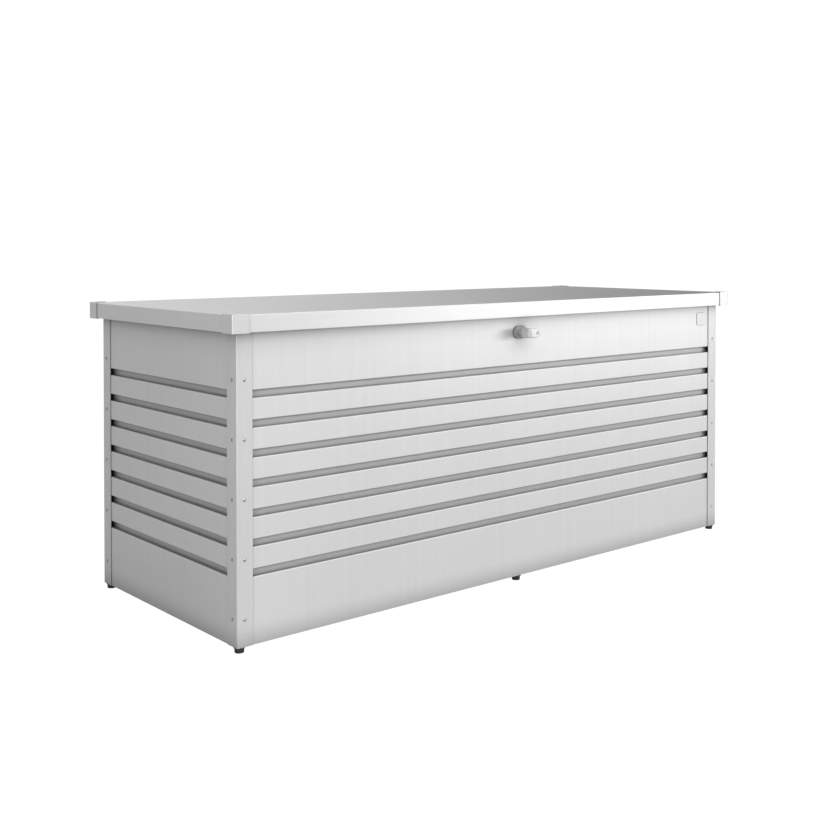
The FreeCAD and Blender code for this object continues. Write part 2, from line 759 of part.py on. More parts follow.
def lid_cap(name, side, end):
    """A corner cap that clips over the rim, with a short lip above and below."""
    body = new_body(name)
    low_x = "-cap_x" if side < 0 else "cap_x - cap_leg"
    low_y = "-cap_y" if end < 0 else "cap_y - cap_leg"
    add_box(body, (low_x, low_y, "cap_z"), ("cap_leg", "cap_leg", "cap_high"))
    corner_x = side * size("cap_x")
    corner_y = end * size("cap_y")
    round_edges(body, "cap_bend", lambda middle, along: is_along(along, Vector(0, 0, 1))
                and near(middle.x, corner_x) and near(middle.y, corner_y))
    top_z = size("cap_z") + size("cap_high")
    round_edges(body, "cap_edge", lambda middle, along: near(middle.z, top_z)
                and (near(middle.x, corner_x) or near(middle.y, corner_y)))
    in_x = "cap_thick - cap_x" if side < 0 else low_x
    in_y = "cap_thick - cap_y" if end < 0 else low_y
    inner = "cap_leg - cap_thick"
    cut_box(body, (in_x, in_y, "rim_z"), (inner, inner, "rim_height"))
    mouth_x = "cap_lip - cap_x" if side < 0 else low_x
    mouth_y = "cap_lip - cap_y" if end < 0 else low_y
    mouth = "cap_leg - cap_lip"
    cut_box(body, (mouth_x, mouth_y, "cap_z"), (mouth, mouth, "cap_high"))


def lid_stiffener(name, x):
    """A hat-shaped stiffener across the underside of the lid."""
    body = new_body(name, x)
    span = "2 * (post_y - stiffener_inset)"
    low_y = "stiffener_inset - post_y"
    wide = "stiffener_width + 2 * stiffener_flange"
    add_box(body, ("-(" + wide + ") / 2", low_y, "lid_under_z - lid_thick"), (wide, span, "lid_thick"))
    add_box(body, ("-stiffener_width / 2", low_y, "lid_under_z - stiffener_height"),
            ("stiffener_width", span, "stiffener_height"))
    cut_box(body, ("lid_thick - stiffener_width / 2", low_y, "lid_under_z - stiffener_height + lid_thick"),
            ("stiffener_width - 2 * lid_thick", span, "stiffener_height - lid_thick"))


def latch_striker():
    """A hook on the lid; the cam turns over its ledge and holds the lid down."""
    body = new_body("latch_striker")
    back_y = "-(cam_end - striker_gap)"
    front_y = "-(bearing_end + striker_lap)"
    add_box(body, ("striker_start", back_y, "ledge_z - striker_thick"),
            ("striker_width", "striker_thick", "lid_under_z - ledge_z + striker_thick"))
    add_box(body, ("striker_start", front_y, "ledge_z - striker_thick"),
            ("striker_width", back_y + " - (" + front_y + ") + striker_thick", "striker_thick"))
    add_box(body, ("striker_start", back_y, "lid_under_z - striker_thick"),
            ("striker_width", "striker_foot", "striker_thick"))


# ---------------------------------------------------------------- hinges

def hinge(name, x):
    """One hinge: a leaf on the rear wall with two knuckles, and a leaf in the lid's rear rim."""
    middle = "(hinge_length - 2 * hinge_knuckle)"
    bore = "hinge_pin_radius + hinge_play"
    low_x = "-hinge_length / 2"
    far_x = "hinge_length / 2 - hinge_knuckle"
    web = "knuckle_radius"

    chest_leaf = new_body(name + "_chest_leaf", x)
    add_box(chest_leaf, (low_x, "wall_y", "rim_z - leaf_drop"),
            ("hinge_length", "leaf_thick", "hinge_above + leaf_drop"))
    for knuckle_x in (low_x, far_x):
        add_box(chest_leaf, (knuckle_x, "wall_y + leaf_thick / 2", "hinge_z - knuckle_radius"),
                ("hinge_knuckle", "hinge_y - wall_y - leaf_thick / 2", web))
        add_rod(chest_leaf, "YZ_Plane", ("hinge_y", "hinge_z", knuckle_x), "knuckle_radius",
                "hinge_knuckle")
    cut_hole(chest_leaf, "YZ_Plane", ("hinge_y", "hinge_z", low_x), bore, "hinge_length")
    for hole_x in LEAF_HOLES:
        spot = (hole_x, "rim_z - leaf_drop / 2", "-wall_y + cut_over")
        hole = cut_hole(chest_leaf, "XZ_Plane", spot, "rivet_hole", "leaf_thick + 2 * cut_over")
        hole.Reversed = False

    lid_leaf = new_body(name + "_lid_leaf", x)
    plate_y = "lid_in_y - lid_leaf_thick"
    knuckle_x = "knuckle_gap - " + middle + " / 2"
    knuckle_span = middle + " - 2 * knuckle_gap"
    add_box(lid_leaf, (low_x, plate_y, "hinge_z - knuckle_radius"),
            ("hinge_length", "lid_leaf_thick", "lid_under_z - hinge_z + knuckle_radius"))
    add_box(lid_leaf, (knuckle_x, "hinge_y", "hinge_z"),
            (knuckle_span, "lid_in_y - lid_leaf_thick / 2 - hinge_y", web))
    add_rod(lid_leaf, "YZ_Plane", ("hinge_y", "hinge_z", knuckle_x), "knuckle_radius", knuckle_span)
    cut_hole(lid_leaf, "YZ_Plane", ("hinge_y", "hinge_z", low_x), bore, "hinge_length")


def hinge_fasteners():
    pin = master_body("hinge_pin_form")
    add_rod(pin, "YZ_Plane", ("0", "0", "-hinge_length / 2 - hinge_pin_end"), "hinge_pin_radius",
            "hinge_length + 2 * hinge_pin_end")
    rivet = rivet_master("hinge_rivet_form", "leaf_thick + wall_thick")
    doc.recompute()
    pins = []
    rivets = []
    for side in (-1, 0, 1):
        x = side * size("hinge_spread")
        pins.append(Placement(Vector(x, size("hinge_y"), size("hinge_z")), Rotation()))
        for step in (-1, 0, 1):
            spot_x = x + step * size("leaf_hole_spread")
            spot_y = size("wall_y") + size("leaf_thick")
            spot = Vector(spot_x, spot_y, size("rim_z") - size("leaf_drop") / 2)
            rivets.append(facing(spot, Vector(0, 1, 0)))
    group("hinge_pins", pin, pins)
    group("hinge_rivets", rivet, rivets)


# ---------------------------------------------------------------- gas struts

def strut_direction():
    """Turn about X that brings a strut drawn along Z onto the line between its two studs."""
    back = size("strut_low_y") - size("strut_high_y")
    drop = size("hinge_z") - size("strut_low_z")
    return Rotation(Vector(1, 0, 0), math.degrees(math.atan2(back, drop)))


def lay_strut(body, side, y, z):
    body.Placement = Placement(Vector(0, 0, 0), strut_direction())
    bind(body, "Placement.Base.x", "strut_x" if side > 0 else "-strut_x")
    bind(body, "Placement.Base.y", "box_y + " + y)
    bind(body, "Placement.Base.z", z)


def strut_eye(body):
    """The socket round a stud, on the body's origin and along X."""
    add_rod(body, "YZ_Plane", ("0", "0", "-strut_eye_width / 2"), "strut_eye_radius", "strut_eye_width")


def strut_eye_hole(body):
    cut_hole(body, "YZ_Plane", ("0", "0", "-strut_eye_width"), "strut_stud_radius + strut_stud_play",
             "2 * strut_eye_width")


def strut_cylinder(name, side):
    """The sleeve hangs from the lid's stud, and is drawn downward from it."""
    body = new_body(name)
    strut_eye(body)
    neck = add_rod(body, "XY_Plane", ("0", "0", "0"), "strut_neck_radius", "strut_neck")
    neck.Reversed = True
    tube = add_rod(body, "XY_Plane", ("0", "0", "-strut_neck"), "strut_radius", "strut_tube")
    tube.Reversed = True
    bore = cut_hole(body, "XY_Plane", ("0", "0", "-strut_neck - strut_end"), "strut_bore_radius",
                    "strut_tube - 2 * strut_end")
    bore.Reversed = False
    gland = cut_hole(body, "XY_Plane", ("0", "0", "-strut_neck - strut_tube + 2 * strut_end"),
                     "strut_rod_radius + strut_gland_play", "3 * strut_end")
    gland.Reversed = False
    strut_eye_hole(body)
    lay_strut(body, side, "strut_high_y", "hinge_z")


def strut_rod(name, side):
    """The rod stands on the chest's stud, with its piston inside the sleeve."""
    body = new_body(name)
    strut_eye(body)
    add_rod(body, "XY_Plane", ("0", "0", "0"), "strut_rod_radius", "strut_rod_length")
    add_rod(body, "XY_Plane", ("0", "0", "strut_rod_length - strut_end"),
            "strut_bore_radius - strut_piston_play", "strut_end")
    strut_eye_hole(body)
    lay_strut(body, side, "strut_low_y", "strut_low_z")


def chest_bracket(name, side):
    """A plate on the back of a pressed groove, with the stud that the rod's eye turns on."""
    body = new_body(name, "0", "strut_low_y", "strut_low_z")
    face = "(wall_x - rib_depth - bracket_thick)"
    tip = "(strut_x - strut_eye_width / 2 - stud_clip_gap - stud_clip)"
    low_x = face if side > 0 else "rib_depth - wall_x"
    add_box(body, (low_x, "-bracket_width / 2", "-bracket_height / 2"),
            ("bracket_thick", "bracket_width", "bracket_height"))
    stud_x = tip if side > 0 else "-" + face
    add_rod(body, "YZ_Plane", ("0", "0", stud_x), "strut_stud_radius", face + " - " + tip)
    clip_x = tip if side > 0 else "-" + tip + " - stud_clip"
    add_rod(body, "YZ_Plane", ("0", "0", clip_x), "strut_stud_radius + stud_clip", "stud_clip")


def lid_bracket(name, side):
    """A folded tab under the lid, with the stud that the sleeve's eye turns on."""
    body = new_body(name, "0", "strut_high_y", "0")
    face = "(strut_x - strut_radius - stud_clip_gap)"
    tip = "(strut_x + strut_eye_width / 2 + stud_clip_gap + stud_clip)"
    tab_x = face + " - bracket_thick" if side > 0 else "-" + face
    foot_x = face + " - bracket_foot" if side > 0 else "-" + face
    add_box(body, (tab_x, "-bracket_tab / 2", "hinge_z - strut_eye_radius"),
            ("bracket_thick", "bracket_tab", "lid_under_z - hinge_z + strut_eye_radius"))
    add_box(body, (foot_x, "-bracket_width / 2", "lid_under_z - bracket_thick"),
            ("bracket_foot", "bracket_width", "bracket_thick"))
    stud_x = face if side > 0 else "-" + tip
    add_rod(body, "YZ_Plane", ("0", "hinge_z", stud_x), "strut_stud_radius", tip + " - " + face)
    clip_x = tip + " - stud_clip" if side > 0 else "-" + tip
    add_rod(body, "YZ_Plane", ("0", "hinge_z", clip_x), "strut_stud_radius + stud_clip", "stud_clip")


# ---------------------------------------------------------------- handle, lock and latch

def handle_rosette():
    body = new_body("handle_rosette", "0", "0", "handle_z")
    sketch = new_sketch(body, "XZ_Plane", ("-rosette_width / 2", "-rosette_height / 2", "wall_y"))
    rectangle(sketch, "rosette_width", "rosette_height")
    pad(body, sketch, "rosette_thick")
    round_edges(body, "(rosette_height - rosette_flat) / 2",
                lambda middle, along: is_along(along, Vector(0, 1, 0)))
    front_y = -size("wall_y") - size("rosette_thick")
    round_edges(body, "rosette_edge", lambda middle, along: near(middle.y, front_y))
    cut_hole(body, "XZ_Plane", ("0", "0", "wall_y - cut_over"), "shaft_radius + shaft_play",
             "rosette_thick + 2 * cut_over")


def handle_spindle():
    body = new_body("handle_spindle", "0", "0", "handle_z")
    neck_start = "(wall_y + rosette_thick + face_play)"
    add_rod(body, "XZ_Plane", ("0", "0", neck_start), "neck_radius", "knob_back - " + neck_start)
    add_rod(body, "XZ_Plane", ("0", "0", "bearing_end"), "shaft_radius", neck_start + " - bearing_end")
    sketch = new_sketch(body, "XZ_Plane", ("-square_side / 2", "-square_side / 2", "cam_end"))
    rectangle(sketch, "square_side", "square_side")
    pad(body, sketch, "cam_thick")
    cut_hole(body, "XZ_Plane", ("0", "0", "cam_end"), "cam_screw_radius + shaft_play", "2 * cam_thick")


def handle_knob():
    """A wide block that narrows to the right, with the lock core's bore in its front."""
    body = new_body("handle_knob", "0", "0", "handle_z")
    sketch = new_sketch(body, "XZ_Plane", ("0", "0", "knob_back"))
    polygon(sketch, [("-knob_left", "-knob_height / 2"),
                     ("knob_shoulder", "-knob_height / 2"),
                     ("knob_right", "-knob_tip / 2"),
                     ("knob_right", "knob_tip / 2"),
                     ("knob_shoulder", "knob_height / 2"),
                     ("-knob_left", "knob_height / 2")])
    pad(body, sketch, "knob_depth")
    round_edges(body, "knob_corner", lambda middle, along: is_along(along, Vector(0, 1, 0)))
    front_y = -size("knob_back") - size("knob_depth")
    round_edges(body, "knob_round", lambda middle, along: near(middle.y, front_y))
    bore = cut_hole(body, "XZ_Plane", ("core_offset", "0", "knob_back + knob_depth + cut_over"),
                    "core_radius + core_play", "core_depth + cut_over")
    bore.Reversed = False


def lock_core():
    """The key turns this core in the knob."""
    body = new_body("lock_core", "core_offset", "0", "handle_z")
    face = "(knob_back + knob_depth + core_proud)"
    add_rod(body, "XZ_Plane", ("0", "0", face + " - core_proud - core_depth"), "core_radius",
            "core_depth + core_proud")
    sketch = new_sketch(body, "XZ_Plane", ("-keyway_height / 2", "-keyway_width / 2",
                                           face + " - keyway_depth"))
    rectangle(sketch, "keyway_height", "keyway_width")
    pocket(body, sketch, "keyway_depth")


def latch_bearing():
    """The flanged bush that carries the spindle on the inside of the front wall."""
    body = new_body("latch_bearing", "0", "0", "handle_z")
    add_box(body, ("-bearing_side / 2", "-wall_in_y", "-bearing_side / 2"),
            ("bearing_side", "bearing_plate", "bearing_side"))
    add_rod(body, "XZ_Plane", ("0", "0", "bearing_end + face_play"), "bearing_radius",
            "bearing_length - face_play")
    cut_hole(body, "XZ_Plane", ("0", "0", "bearing_end - cut_over"), "shaft_radius + shaft_play",
             "bearing_length + 2 * cut_over")


def latch_cam():
    """The arm on the spindle's square; it points up when the lid is free to open."""
    body = new_body("latch_cam", "0", "0", "handle_z")
    add_rod(body, "XZ_Plane", ("0", "0", "cam_end"), "cam_boss_radius", "cam_thick")
    arm = new_sketch(body, "XZ_Plane", ("-cam_width / 2", "0", "cam_end"))
    rectangle(arm, "cam_width", "cam_reach")
    pad(body, arm, "cam_thick")
    tip_z = size("cam_reach")
    round_edges(body, "cam_tip_round", lambda middle, along: is_along(along, Vector(0, 1, 0))
                and near(middle.z, tip_z))
    seat = new_sketch(body, "XZ_Plane", ("-square_side / 2", "-square_side / 2", "cam_end - cut_over"))
    rectangle(seat, "square_side", "square_side")
    pocket(body, seat, "cam_thick + 2 * cut_over")


def cam_screw():
    body = new_body("cam_screw", "0", "0", "handle_z")
    add_rod(body, "XZ_Plane", ("0", "0", "cam_end - cam_screw_rise"), "cam_screw_head", "cam_screw_rise")
    add_rod(body, "XZ_Plane", ("0", "0", "cam_end"), "cam_screw_radius", "cam_screw_length")


def blank_plate():
    """A small plain plate near the right-hand end of the front wall."""
    body = new_body("blank_plate", "post_x - plate_inset", "0", "rim_z - plate_drop")
    sketch = new_sketch(body, "XZ_Plane", ("-plate_width / 2", "-plate_height / 2", "wall_y"))
    rectangle(sketch, "plate_width", "plate_height")
    pad(body, sketch, "plate_thick")
    round_edges(body, "plate_corner", lambda middle, along: is_along(along, Vector(0, 1, 0)))


# ---------------------------------------------------------------- the whole box

def build_chest():
    long_wall("front_wall", True)
    long_wall("rear_wall", False)
    end_wall("left_wall", -1)
    end_wall("right_wall", 1)
    for end_name, end in (("front", -1), ("rear", 1)):
        for side_name, side in (("left", -1), ("right", 1)):
            corner_post("post_%s_%s" % (end_name, side_name), side, end)
    wall_rivets()
    top_rails()
    rim_seal()
    base_rails()
    floor_beam()
    floor_panel("floor_panel_left", -1)
    floor_panel("floor_panel_right", 1)
    feet()
    foot_screws()
    blank_plate()


def build_lid():
    lid_panel()
    for end_name, end in (("front", -1), ("rear", 1)):
        for side_name, side in (("left", -1), ("right", 1)):
            lid_cap("lid_cap_%s_%s" % (end_name, side_name), side, end)
    lid_stiffener("lid_stiffener_left", "-stiffener_spread")
    lid_stiffener("lid_stiffener_right", "stiffener_spread")
    latch_striker()


def build_hinges():
    for name, x in HINGES.items():
        hinge(name, x)
    hinge_fasteners()


def build_struts():
    for side_name, side in (("left", -1), ("right", 1)):
        chest_bracket("strut_bracket_chest_" + side_name, side)
        lid_bracket("strut_bracket_lid_" + side_name, side)
        strut_cylinder("strut_cylinder_" + side_name, side)
        strut_rod("strut_rod_" + side_name, side)


def build_handle():
    handle_rosette()
    handle_spindle()
    handle_knob()
    lock_core()
    latch_bearing()
    latch_cam()
    cam_screw()


def check_document():
    """Stop if anything failed to rebuild or any piece is empty or broken."""
    doc.recompute()
    faults = []
    for item in doc.Objects:
        if "Invalid" in item.State or "Error" in item.State:
            faults.append("%s: %s" % (item.Label, item.State))
    for node in NODES:
        if node.Shape.isNull() or not node.Shape.isValid() or not node.Shape.Solids:
            faults.append("%s: bad shape" % node.Label)
    if faults:
        raise RuntimeError("; ".join(faults))


def export_parts():
    os.makedirs("parts", exist_ok=True)
    for node in NODES:
        node.Shape.exportStep("parts/%s.step" % node.Label)
    print("%d nodes written" % len(NODES))


fill_sheet()
build_chest()
build_lid()
build_hinges()
build_struts()
build_handle()
check_document()
export_parts()
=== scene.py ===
import json
import math

import bmesh
import bpy
from mathutils import Matrix, Vector


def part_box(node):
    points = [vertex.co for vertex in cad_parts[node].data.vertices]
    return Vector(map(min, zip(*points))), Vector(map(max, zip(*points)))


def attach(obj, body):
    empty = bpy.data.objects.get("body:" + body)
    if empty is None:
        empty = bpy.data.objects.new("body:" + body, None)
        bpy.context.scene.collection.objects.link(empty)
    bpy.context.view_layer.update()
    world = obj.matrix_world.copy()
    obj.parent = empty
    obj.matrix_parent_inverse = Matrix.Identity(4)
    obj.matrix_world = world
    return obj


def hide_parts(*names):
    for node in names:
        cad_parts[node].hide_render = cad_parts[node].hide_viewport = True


# Looks of a long sheet-steel deck storage box. Metres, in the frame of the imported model:
# +X along the length, the front faces -Y, z = 0 under the feet.

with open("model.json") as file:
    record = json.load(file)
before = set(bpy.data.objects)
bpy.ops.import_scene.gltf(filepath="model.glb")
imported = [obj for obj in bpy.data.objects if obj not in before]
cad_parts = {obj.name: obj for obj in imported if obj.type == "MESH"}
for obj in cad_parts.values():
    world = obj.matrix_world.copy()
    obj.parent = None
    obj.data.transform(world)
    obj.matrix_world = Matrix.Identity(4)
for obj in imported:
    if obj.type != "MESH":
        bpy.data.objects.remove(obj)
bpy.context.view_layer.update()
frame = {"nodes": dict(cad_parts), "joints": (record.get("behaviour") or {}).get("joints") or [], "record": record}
nodes = frame["nodes"]

MM = 0.001
EVEN = (1.0, 1.0, 1.0)


# ---------------------------------------------------------------- shader helpers

# Most of a noise texture's values lie between these two.
NOISE_LOW = 0.3
NOISE_HIGH = 0.7
CREVICE_SAMPLES = 8
BEVEL_SAMPLES = 6
# How far a softened normal turns from the true one, as a cosine: where the edge wear and the painted edge
# highlight start and are full.
WEAR_AND_HIGHLIGHT_START = 0.995
WEAR_AND_HIGHLIGHT_FULL = 0.80


def new_material(name, metallic, roughness):
    """A material with one Principled shader whose plain values are set on its own sockets."""
    material = bpy.data.materials.new(name)
    material.use_nodes = True
    shader = material.node_tree.nodes["Principled BSDF"]
    shader.inputs["Metallic"].default_value = metallic
    shader.inputs["Roughness"].default_value = roughness
    return material, material.node_tree, shader


def place_vector(tree, stretch):
    """Object coordinates in metres, scaled per axis."""
    spot = tree.nodes.new("ShaderNodeTexCoord")
    mapping = tree.nodes.new("ShaderNodeMapping")
    mapping.inputs["Scale"].default_value = stretch
    tree.links.new(spot.outputs["Object"], mapping.inputs["Vector"])
    return mapping.outputs["Vector"]


def noise(tree, scale, detail, stretch=EVEN):
    """Noise with about scale waves to the metre."""
    texture = tree.nodes.new("ShaderNodeTexNoise")
    texture.inputs["Scale"].default_value = scale
    texture.inputs["Detail"].default_value = detail
    tree.links.new(place_vector(tree, stretch), texture.inputs["Vector"])
    return texture.outputs["Fac"]


def cells(tree, scale):
    """A value from 0 to 1 per Voronoi cell, about scale cells to the metre."""
    texture = tree.nodes.new("ShaderNodeTexVoronoi")
    texture.inputs["Scale"].default_value = scale
    tree.links.new(place_vector(tree, EVEN), texture.inputs["Vector"])
    split = tree.nodes.new("ShaderNodeSeparateColor")
    tree.links.new(texture.outputs["Color"], split.inputs["Color"])
    return split.outputs["Red"]


def spread(tree, value, low, high, start=NOISE_LOW, end=NOISE_HIGH):
    """Brings a value that runs from start to end to the range low to high."""
    ranged = tree.nodes.new("ShaderNodeMapRange")
    ranged.inputs["From Min"].default_value = start
    ranged.inputs["From Max"].default_value = end
    ranged.inputs["To Min"].default_value = low
    ranged.inputs["To Max"].default_value = high
    tree.links.new(value, ranged.inputs["Value"])
    return ranged.outputs["Result"]


def join(tree, first, second, operation="ADD"):
    """One value out of two."""
    mixed = tree.nodes.new("ShaderNodeMath")
    mixed.operation = operation
    tree.links.new(first, mixed.inputs[0])
    tree.links.new(second, mixed.inputs[1])
    return mixed.outputs["Value"]


def colour_between(tree, shader, value, dark, light):
    """Colours the surface from dark at 0 to light at 1."""
    ramp = tree.nodes.new("ShaderNodeValToRGB")
    ramp.color_ramp.elements[0].color = (*dark, 1)
    ramp.color_ramp.elements[1].color = (*light, 1)
    tree.links.new(value, ramp.inputs["Fac"])
    tree.links.new(ramp.outputs["Color"], shader.inputs["Base Color"])


def scale_colour(tree, shader, factor):
    """Multiplies the colour that reaches the shader by a varying factor."""
    colour = shader.inputs["Base Color"].links[0].from_socket
    scaled = tree.nodes.new("ShaderNodeVectorMath")
    scaled.operation = "SCALE"
    tree.links.new(colour, scaled.inputs[0])
    tree.links.new(factor, scaled.inputs["Scale"])
    tree.links.new(scaled.outputs["Vector"], shader.inputs["Base Color"])


def roughen(tree, shader, value):
    """Takes the surface's roughness from a varying value."""
    tree.links.new(value, shader.inputs["Roughness"])


def grain(tree, shader, height, depth, strength):
    """Bump of the given depth in metres."""
    bump = tree.nodes.new("ShaderNodeBump")
    bump.inputs["Distance"].default_value = depth
    bump.inputs["Strength"].default_value = strength
    tree.links.new(height, bump.inputs["Height"])
    tree.links.new(bump.outputs["Normal"], shader.inputs["Normal"])


def shade_crevices(tree, shader, distance, power):
    """Darkens the colour with painted shade in grooves, seams and inner corners narrower than about the distance.
    """
    open_sky = tree.nodes.new("ShaderNodeAmbientOcclusion")
    open_sky.samples = CREVICE_SAMPLES
    open_sky.inputs["Distance"].default_value = distance
    raised = tree.nodes.new("ShaderNodeMath")
    raised.operation = "POWER"
    raised.inputs[1].default_value = power
    tree.links.new(open_sky.outputs["AO"], raised.inputs[0])
    scale_colour(tree, shader, raised.outputs["Value"])


def edge_wear_and_highlight(tree, shader, reach, wear_and_highlight_lift, gloss):
    """Lightens the coat along sharp edges, partly as wear and partly as a painted highlight, and polishes them as
    handling does.
    """
    softened = tree.nodes.new("ShaderNodeBevel")
    softened.samples = BEVEL_SAMPLES
    softened.inputs["Radius"].default_value = reach
    surface = tree.nodes.new("ShaderNodeNewGeometry")
    facing = tree.nodes.new("ShaderNodeVectorMath")
    facing.operation = "DOT_PRODUCT"
    tree.links.new(softened.outputs["Normal"], facing.inputs[0])
    tree.links.new(surface.outputs["Normal"], facing.inputs[1])
    edge = spread(tree, facing.outputs["Value"], low=0.0, high=1.0, start=WEAR_AND_HIGHLIGHT_START, end=WEAR_AND_HIGHLIGHT_FULL)
    # The lightening of the colour is a painted highlight along the edges as well as wear.
    scale_colour(tree, shader, spread(tree, edge, low=1.0, high=wear_and_highlight_lift, start=0.0, end=1.0))
    rough = shader.inputs["Roughness"].links[0].from_socket
    polish = spread(tree, edge, low=0.0, high=gloss, start=0.0, end=1.0)
    roughen(tree, shader, join(tree, rough, polish, "SUBTRACT"))


def grey(level, tint):
    """A grey of the given level, coloured by a tint."""
    return tuple(level * part for part in tint)


# ---------------------------------------------------------------- materials

COOL = (0.998, 1.0, 1.003)
WARM = (1.02, 1.0, 0.96)

# Noise is drawn out into lines along the axis whose scale is small.
LINES_ALONG_X = (0.02, 1.0, 1.0)
LINES_ALONG_Z = (1.0, 1.0, 0.02)

# Silver powder coats: grey level, roughness, stretch of the drawing lines.
COATS = {
    "silver_coat": (0.62, 0.37, LINES_ALONG_Z),
    "lid_coat": (0.62, 0.32, LINES_ALONG_X),
    "post_coat": (0.61, 0.29, LINES_ALONG_Z),
    "cap_silver": (0.61, 0.27, EVEN),
}

# Bare or plated metals: grey level, roughness, metallic, stretch of the tool marks, tint.
METALS = {
    "zinc_steel": (0.60, 0.36, 1.0, (1.0, 0.1, 1.0), WARM),
    "rivet_silver": (0.40, 0.26, 0.8, EVEN, COOL),
    "handle_metal": (0.60, 0.40, 0.4, (0.15, 1.0, 1.0), COOL),
    "lock_metal": (0.55, 0.22, 1.0, EVEN, COOL),
    "plate_silver": (0.58, 0.42, 0.35, (0.05, 1.0, 1.0), COOL),
    "strut_rod_steel": (0.72, 0.16, 1.0, EVEN, COOL),
}

# Plastics and rubbers: grey level, roughness, waves of the eroded grain to the metre.
PLASTICS = {
    "rosette_grey": (0.26, 0.42, 900),
    "black_plastic": (0.025, 0.50, 900),
    "seal_rubber": (0.018, 0.70, 1500),
    "strut_black": (0.02, 0.32, 1800),
}

# Nodes whose coat is smoother than that of the flat walls.
SMOOTH_COATS = {
    "lid_panel": "lid_coat",
    "post_front_left": "post_coat",
    "post_front_right": "post_coat",
    "post_rear_left": "post_coat",
    "post_rear_right": "post_coat",
}


def silver_coat(name, level, roughness, along):
    """Satin silver powder coat: fine metallic flake, faint drawing lines of the sheet, orange peel, edges
    lightened by wear and a painted highlight, painted shade in its crevices.
    """
    contrast = 0.05
    gloss_change = 0.05
    material, tree, shader = new_material(name, metallic=0.35, roughness=roughness)
    flake = spread(tree, noise(tree, scale=2600, detail=1.0), low=-0.10, high=0.10)
    lines = spread(tree, noise(tree, scale=60, detail=3.0, stretch=along), low=-0.16, high=0.16)
    clouds = spread(tree, noise(tree, scale=2.2, detail=2.0), low=-0.14, high=0.14)
    total = join(tree, join(tree, flake, lines), clouds)
    tone = spread(tree, total, low=0.0, high=1.0, start=-0.5, end=0.5)
    dark = grey(level * (1 - contrast), COOL)
    light = grey(level * (1 + contrast), COOL)
    colour_between(tree, shader, tone, dark, light)
    mottle = noise(tree, scale=1400, detail=2.0)
    roughen(tree, shader, spread(tree, mottle, roughness - gloss_change, roughness + gloss_change))
    grain(tree, shader, noise(tree, scale=1100, detail=2.0), depth=0.03 * MM, strength=0.35)
    # Edges lightened with a painted highlight as well as wear.
    edge_wear_and_highlight(tree, shader, reach=1.2 * MM, wear_and_highlight_lift=1.35, gloss=0.12)
    # Painted shade: broad in the grooves and under the lid's rim, fine along seams and inner corners.
    shade_crevices(tree, shader, distance=70 * MM, power=0.9)
    shade_crevices(tree, shader, distance=5 * MM, power=0.8)
    return material


def galvanised(name):
    """Hot-dip zinc with a spangle of crystals."""
    material, tree, shader = new_material(name, metallic=0.85, roughness=0.42)
    crystal = cells(tree, scale=95)
    spangle = spread(tree, crystal, low=0.1, high=0.7, start=0.0, end=1.0)
    haze = spread(tree, noise(tree, scale=500, detail=3.0), low=0.0, high=0.3)
    dark = grey(0.42, COOL)
    light = grey(0.62, COOL)
    colour_between(tree, shader, join(tree, spangle, haze), dark, light)
    roughen(tree, shader, spread(tree, crystal, low=0.34, high=0.52, start=0.0, end=1.0))
    grain(tree, shader, noise(tree, scale=350, detail=3.0), depth=0.05 * MM, strength=0.3)
    return material


def brushed_metal(name, level, roughness, metallic, stretch, tint):
    """Bare or plated metal with fine tool marks, drawn out along the axis whose scale is small."""
    material, tree, shader = new_material(name, metallic, roughness)
    marks = noise(tree, scale=900, detail=3.0, stretch=stretch)
    patches = noise(tree, scale=90, detail=2.0)
    tone = join(tree, spread(tree, marks, low=0.0, high=0.6), spread(tree, patches, low=0.0, high=0.4))
    dark = grey(level * 0.9, tint)
    light = grey(level * 1.08, tint)
    colour_between(tree, shader, tone, dark, light)
    roughen(tree, shader, spread(tree, marks, low=roughness - 0.06, high=roughness + 0.08))
    grain(tree, shader, marks, depth=0.02 * MM, strength=0.3)
    return material


def moulded(name, level, roughness, grain_scale):
    """Moulded plastic or rubber with a fine eroded grain."""
    material, tree, shader = new_material(name, metallic=0.0, roughness=roughness)
    speck = noise(tree, scale=grain_scale, detail=3.0)
    patches = noise(tree, scale=60, detail=2.0)
    tone = join(tree, spread(tree, speck, low=0.0, high=0.6), spread(tree, patches, low=0.0, high=0.4))
    dark = grey(level * 0.8, COOL)
    light = grey(level * 1.2, COOL)
    colour_between(tree, shader, tone, dark, light)
    roughen(tree, shader, spread(tree, speck, low=roughness - 0.08, high=roughness + 0.08))
    grain(tree, shader, speck, depth=0.06 * MM, strength=0.4)
    return material


def make_materials():
    """Every material by its name: one for each slot of the record, and the two smoother coats."""
    made = {"galvanised_sheet": galvanised("galvanised_sheet")}
    for maker, table in ((silver_coat, COATS), (brushed_metal, METALS), (moulded, PLASTICS)):
        for name, looks in table.items():
            made[name] = maker(name, *looks)
    return made


materials = make_materials()


def dress_nodes():
    """Gives every CAD node the material of its slot in the record, or its smoother coat."""
    for part in frame["record"]["subparts"]:
        node = part["node"]
        slot = SMOOTH_COATS.get(node, part["material_slot"])
        mesh = nodes[node].data
        if not mesh.materials:
            mesh.materials.append(materials[slot])
        for index in range(len(mesh.materials)):
            mesh.materials[index] = materials[slot]


# ---------------------------------------------------------------- mesh helpers

SMOOTH_UNDER = math.radians(38)
WELD_UNDER = 0.002 * MM
ROUND_STEPS = 6
TURN_STEPS = 48


